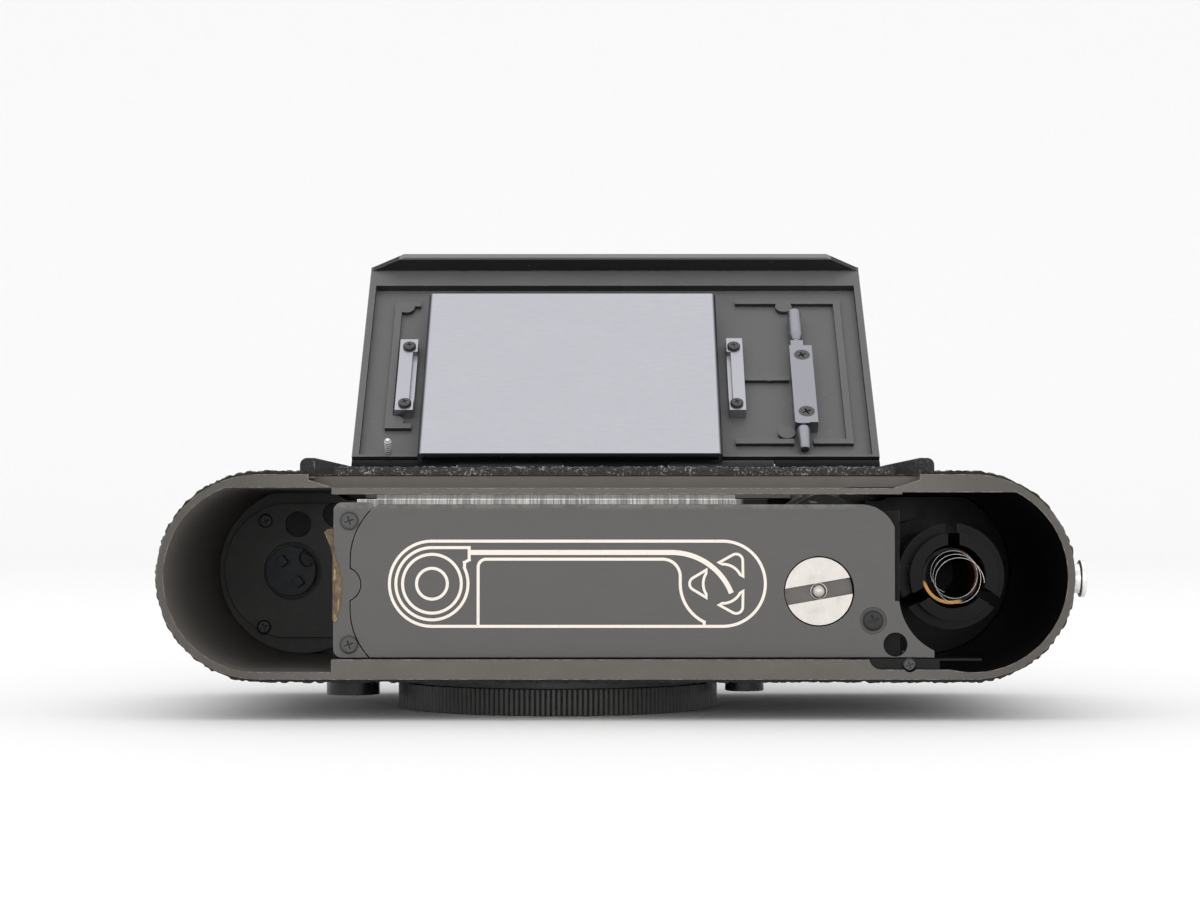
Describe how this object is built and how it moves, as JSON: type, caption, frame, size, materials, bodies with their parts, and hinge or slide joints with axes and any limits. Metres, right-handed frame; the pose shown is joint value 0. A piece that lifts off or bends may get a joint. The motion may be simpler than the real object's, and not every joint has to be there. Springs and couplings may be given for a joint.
{
  "type": "rangefinder camera",
  "caption": "35 mm interchangeable-lens rangefinder camera lying on its body cap, base plate off, hinged back door open to show the film chambers.",
  "frame": {"origin": "where the lens axis meets the resting face of the body cap", "axes": "+X along the body towards the winding side, +Y towards the top plate, +Z along the lens axis towards the camera back"},
  "size_m": [0.1507, 0.0952, 0.0795],
  "materials": {
    "body_metal": "matte grey-olive paint on brass",
    "covering": "grained vulcanised covering",
    "black_frame": "matte black",
    "gate_steel": "polished and finely ribbed",
    "curtain_cloth": "rubberised cloth",
    "cover_black": "satin grey-black anodised",
    "screw_black": "blackened steel",
    "cream_fill": "engraved line fill",
    "top_black": "satin black enamel",
    "clear_glass": "coated optical glass",
    "frosted_glass": "ribbed frosted glass",
    "chrome": "satin chrome",
    "silver_metal": "turned and polished",
    "steel": "turned steel",
    "brass": "bare brass",
    "cap_plastic": "semi-matte black",
    "blue_steel": "bluish grey, brushed",
    "plate_steel": "light blue-grey, brushed lengthwise",
    "door_paint": "matte grey paint",
    "dial_white": "printed",
    "gloss_black": "gloss black"
  },
  "bodies": {
    "body": {"body_shell": "body_metal", "hinge_leaf": "black_frame", "body_covering": "covering", "shutter_crate": "black_frame", "film_gate": "gate_steel", "shutter_curtain": "curtain_cloth", "gear_cover": "cover_black", "cover_end_strip": "cover_black", "cover_screws": "screw_black", "loading_diagram": "cream_fill", "cartridge_end_plate": "black_frame", "end_plate_screws": "screw_black", "takeup_end_plate": "gloss_black", "top_plate": "top_black", "viewfinder_block": "black_frame", "viewfinder_window": "clear_glass", "brightline_window": "frosted_glass", "rangefinder_window": "clear_glass", "eyepiece_ring": "top_black", "eyepiece_lens": "clear_glass", "accessory_shoe": "top_black", "shoe_screws": "screw_black", "lens_mount": "chrome", "mount_screws": "chrome", "strap_lugs": "chrome", "base_plate_stud": "chrome", "sync_sockets": "chrome", "hinge_pin": "steel", "counter_window": "clear_glass"},
    "cap": {"body_cap": "cap_plastic"},
    "coupling": {"coupling_disc": "silver_metal"},
    "spool": {"takeup_spool": "gloss_black", "spool_spring": "chrome", "spool_tube": "brass"},
    "sprocket": {"film_sprocket": "steel"},
    "drum": {"shutter_drum": "silver_metal"},
    "roller": {"spring_roller": "silver_metal"},
    "lever": {"advance_lever": "top_black"},
    "button": {"release_button": "chrome"},
    "dial": {"speed_dial": "top_black"},
    "counter": {"counter_disc": "dial_white"},
    "rewind": {"rewind_knob": "top_black", "rewind_fork": "gloss_black"},
    "crank": {"rewind_crank": "chrome"},
    "selector": {"frame_selector_lever": "top_black"},
    "rewind_release": {"rewind_release_lever": "top_black"},
    "lens_release": {"lens_release_button": "chrome"},
    "door": {"back_door": "door_paint", "door_covering": "covering", "plate_clips": "blue_steel", "clip_screws": "screw_black", "plate_spring": "steel", "guide_bracket": "blue_steel", "guide_screws": "screw_black"},
    "plate": {"pressure_plate": "plate_steel"},
    "upper_guide": {"upper_roller": "blue_steel"},
    "lower_guide": {"lower_roller": "blue_steel"},
    "contact": {"contact_pin": "chrome"},
    "film_speed": {"film_speed_dial": "top_black"}
  },
  "joints": [
    {"name": "door_hinge", "type": "hinge", "parent": "body", "child": "door", "pos_m": [0.0095, 0.0199, 0.0394], "axis": [1, 0, 0], "range_deg": [0, 136.5]},
    {"name": "plate_float", "type": "slide", "parent": "door", "child": "plate", "axis": [0, 0.6884, -0.7254], "range_m": [0, 0.0006], "stiffness_N_per_m": 300, "springref_m": -0.003},
    {"name": "upper_roller_spin", "type": "hinge", "parent": "door", "child": "upper_guide", "pos_m": [0.042, 0.04512, 0.06512], "axis": [0, 0.7254, 0.6884], "continuous": true},
    {"name": "lower_roller_spin", "type": "hinge", "parent": "door", "child": "lower_guide", "pos_m": [0.042, 0.02263, 0.04378], "axis": [0, 0.7254, 0.6884], "continuous": true},
    {"name": "contact_press", "type": "slide", "parent": "door", "child": "contact", "axis": [0, 0.6884, -0.7254], "range_m": [0, 0.0007], "stiffness_N_per_m": 100, "springref_m": -0.001},
    {"name": "film_speed_turn", "type": "hinge", "parent": "door", "child": "film_speed", "pos_m": [0.0095, 0.04197, 0.05827], "axis": [0, -0.6884, 0.7254], "range_deg": [-150, 150]},
    {"name": "cap_turn", "type": "hinge", "parent": "body", "child": "cap", "pos_m": [0, 0, 0.003], "axis": [0, 0, 1], "range_deg": [0, 45]},
    {"name": "advance_stroke", "type": "hinge", "parent": "body", "child": "lever", "pos_m": [0.058, 0.035, 0.0215], "axis": [0, 1, 0], "range_deg": [0, 110], "stiffness_Nm_per_rad": 0.004, "springref_deg": -28.65},
    {"name": "spool_turn", "type": "hinge", "parent": "body", "child": "spool", "pos_m": [0.0618, 0, 0.0214], "axis": [0, 1, 0], "range_deg": [0, 275]},
    {"name": "sprocket_turn", "type": "hinge", "parent": "body", "child": "sprocket", "pos_m": [0.042, 0, 0.0282], "axis": [0, 1, 0], "range_deg": [0, 360]},
    {"name": "coupling_turn", "type": "hinge", "parent": "body", "child": "coupling", "pos_m": [0.0399, -0.033, 0.0194], "axis": [0, 1, 0], "range_deg": [0, 360]},
    {"name": "drum_turn", "type": "hinge", "parent": "body", "child": "drum", "pos_m": [0.027, 0, 0.021], "axis": [0, 1, 0], "range_deg": [0, 360]},
    {"name": "roller_turn", "type": "hinge", "parent": "body", "child": "roller", "pos_m": [-0.026, 0, 0.023], "axis": [0, 1, 0], "range_deg": [0, 495]},
    {"name": "counter_turn", "type": "hinge", "parent": "body", "child": "counter", "pos_m": [0.07, 0.0317, 0.02], "axis": [0, 1, 0], "range_deg": [0, 8.8]},
    {"name": "release_press", "type": "slide", "parent": "body", "child": "button", "axis": [0, -1, 0], "range_m": [0, 0.0015], "stiffness_N_per_m": 400, "springref_m": -0.001},
    {"name": "dial_turn", "type": "hinge", "parent": "body", "child": "dial", "pos_m": [0.031, 0.036, 0.0215], "axis": [0, 1, 0], "range_deg": [-150, 150]},
    {"name": "rewind_turn", "type": "hinge", "parent": "body", "child": "rewind", "pos_m": [-0.0459, 0.036, 0.0215], "axis": [0, 1, 0], "continuous": true},
    {"name": "crank_fold", "type": "hinge", "parent": "rewind", "child": "crank", "pos_m": [-0.04952, 0.03705, 0.02319], "axis": [0.4226, 0, 0.9063], "range_deg": [0, 165]},
    {"name": "selector_swing", "type": "hinge", "parent": "body", "child": "selector", "pos_m": [-0.0332, -0.002, 0.004], "axis": [0, 0, 1], "range_deg": [-20, 20], "stiffness_Nm_per_rad": 0.01},
    {"name": "rewind_release_swing", "type": "hinge", "parent": "body", "child": "rewind_release", "pos_m": [0.057, 0.008, 0.005], "axis": [0, 0, 1], "range_deg": [0, 80]},
    {"name": "lens_release_press", "type": "slide", "parent": "body", "child": "lens_release", "axis": [0, 0, 1], "range_m": [0, 0.0014], "stiffness_N_per_m": 400, "springref_m": -0.001}
  ],
  "couplings": [
    {"joint": "spool_turn", "follows": "advance_stroke", "ratio": 2.5},
    {"joint": "sprocket_turn", "follows": "advance_stroke", "ratio": 3.2726},
    {"joint": "coupling_turn", "follows": "advance_stroke", "ratio": 3.2726},
    {"joint": "drum_turn", "follows": "advance_stroke", "ratio": 3.2726},
    {"joint": "roller_turn", "follows": "advance_stroke", "ratio": 4.5},
    {"joint": "counter_turn", "follows": "advance_stroke", "ratio": 0.08}
  ]
}
